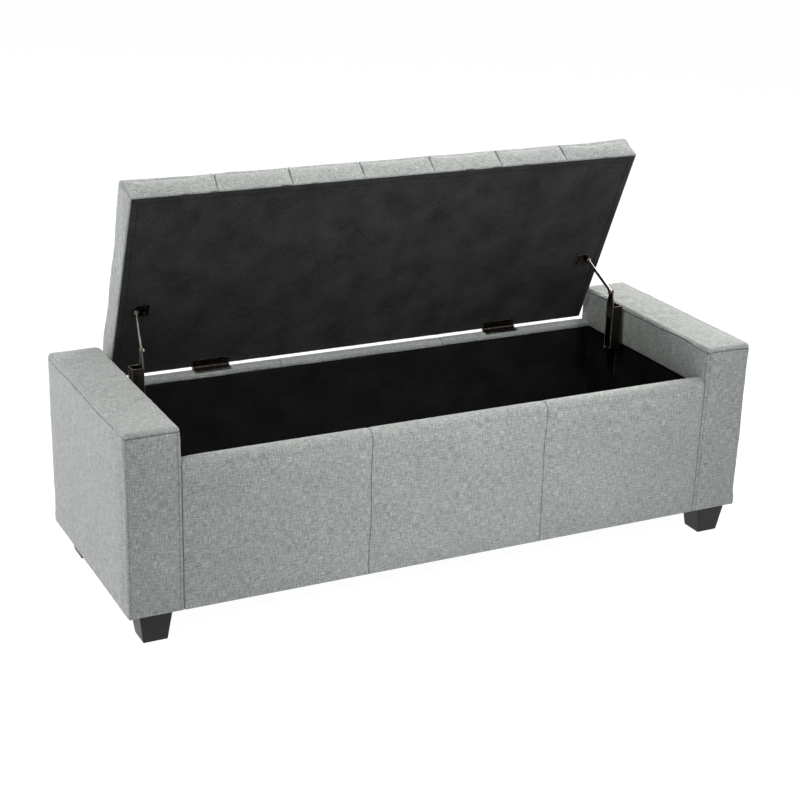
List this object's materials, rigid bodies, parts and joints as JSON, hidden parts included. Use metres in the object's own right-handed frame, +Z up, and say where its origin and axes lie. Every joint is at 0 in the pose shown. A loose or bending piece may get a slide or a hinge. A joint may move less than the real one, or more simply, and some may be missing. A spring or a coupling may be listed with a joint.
{
  "type": "storage bench",
  "caption": "Low upholstered storage bench: box arms, a padded rear-hinged lid on folding side stays, a black-lined storage box and tapered square feet.",
  "frame": {"origin": "on the floor, at the middle of the footprint that the bench has with its lid open", "axes": "+X along the bench to the right as seen from the front, +Y to the rear, +Z up"},
  "size_m": [1.3, 0.5, 0.7578],
  "materials": {
    "upholstery_fabric": "matte",
    "lining_cloth": "matte",
    "foam": "matte",
    "plywood": "matte",
    "foot_plastic": "satin",
    "bronze_metal": "satin",
    "steel": "satin"
  },
  "bodies": {
    "carcass": {"arm_outer_board_left": "plywood", "arm_outer_board_right": "plywood", "arm_inner_board_left": "plywood", "arm_inner_board_right": "plywood", "arm_top_board_left": "plywood", "arm_top_board_right": "plywood", "arm_end_boards": "plywood", "arm_bottom_boards": "plywood", "arm_padding_left": "foam", "arm_padding_right": "foam", "arm_cover_left": "upholstery_fabric", "arm_cover_right": "upholstery_fabric", "front_board": "plywood", "front_padding": "foam", "front_cover": "upholstery_fabric", "rear_board": "plywood", "rear_rail": "plywood", "rear_padding": "foam", "rear_cover": "upholstery_fabric", "floor_battens": "plywood", "floor_board": "plywood", "floor_lining": "lining_cloth", "front_lining": "lining_cloth", "rear_lining": "lining_cloth", "side_lining_left": "lining_cloth", "side_lining_right": "lining_cloth", "dust_cover": "lining_cloth", "foot_front_left": "foot_plastic", "foot_front_right": "foot_plastic", "foot_rear_left": "foot_plastic", "foot_rear_right": "foot_plastic", "foot_bolts": "steel", "hinge_body_leaf_left": "bronze_metal", "hinge_body_leaf_right": "bronze_metal", "hinge_pins": "steel", "hinge_body_screws": "bronze_metal", "stay_base_left": "bronze_metal", "stay_base_right": "bronze_metal", "stay_base_rivets": "steel", "stay_base_screws": "bronze_metal"},
    "lid": {"lid_board": "plywood", "lid_foam": "foam", "lid_cover": "upholstery_fabric", "lid_lining": "lining_cloth", "hinge_lid_leaf_left": "bronze_metal", "hinge_lid_leaf_right": "bronze_metal", "hinge_lid_screws": "bronze_metal", "stay_lid_bracket_left": "bronze_metal", "stay_lid_bracket_right": "bronze_metal", "stay_lid_rivets": "steel", "stay_lid_screws": "bronze_metal"},
    "stay_lever_left": {"stay_lever_left": "bronze_metal", "stay_spring_left": "steel"},
    "stay_lever_right": {"stay_lever_right": "bronze_metal", "stay_spring_right": "steel"},
    "stay_link_left": {"stay_link_left": "steel", "stay_elbow_rivet_left": "steel"},
    "stay_link_right": {"stay_link_right": "steel", "stay_elbow_rivet_right": "steel"}
  },
  "joints": [
    {"name": "lid_hinge", "type": "hinge", "parent": "carcass", "child": "lid", "pos_m": [0, 0.19396, 0.342], "axis": [1, 0, 0], "range_deg": [0, 67]},
    {"name": "stay_lever_left_pivot", "type": "hinge", "parent": "carcass", "child": "stay_lever_left", "pos_m": [-0.53, 0.09196, 0.304], "axis": [1, 0, 0], "range_deg": [0, 74.4]},
    {"name": "stay_link_left_pivot", "type": "hinge", "parent": "lid", "child": "stay_link_left", "pos_m": [-0.5, 0.12666, 0.4916], "axis": [1, 0, 0], "range_deg": [-78.5, 0]},
    {"name": "stay_lever_right_pivot", "type": "hinge", "parent": "carcass", "child": "stay_lever_right", "pos_m": [0.53, 0.09196, 0.304], "axis": [1, 0, 0], "range_deg": [0, 74.4]},
    {"name": "stay_link_right_pivot", "type": "hinge", "parent": "lid", "child": "stay_link_right", "pos_m": [0.5, 0.12666, 0.4916], "axis": [1, 0, 0], "range_deg": [-78.5, 0]}
  ],
  "couplings": [
    {"joint": "stay_lever_left_pivot", "follows": "lid_hinge", "ratio": 1.111},
    {"joint": "stay_link_left_pivot", "follows": "lid_hinge", "ratio": -1.172},
    {"joint": "stay_lever_right_pivot", "follows": "lid_hinge", "ratio": 1.111},
    {"joint": "stay_link_right_pivot", "follows": "lid_hinge", "ratio": -1.172}
  ]
}
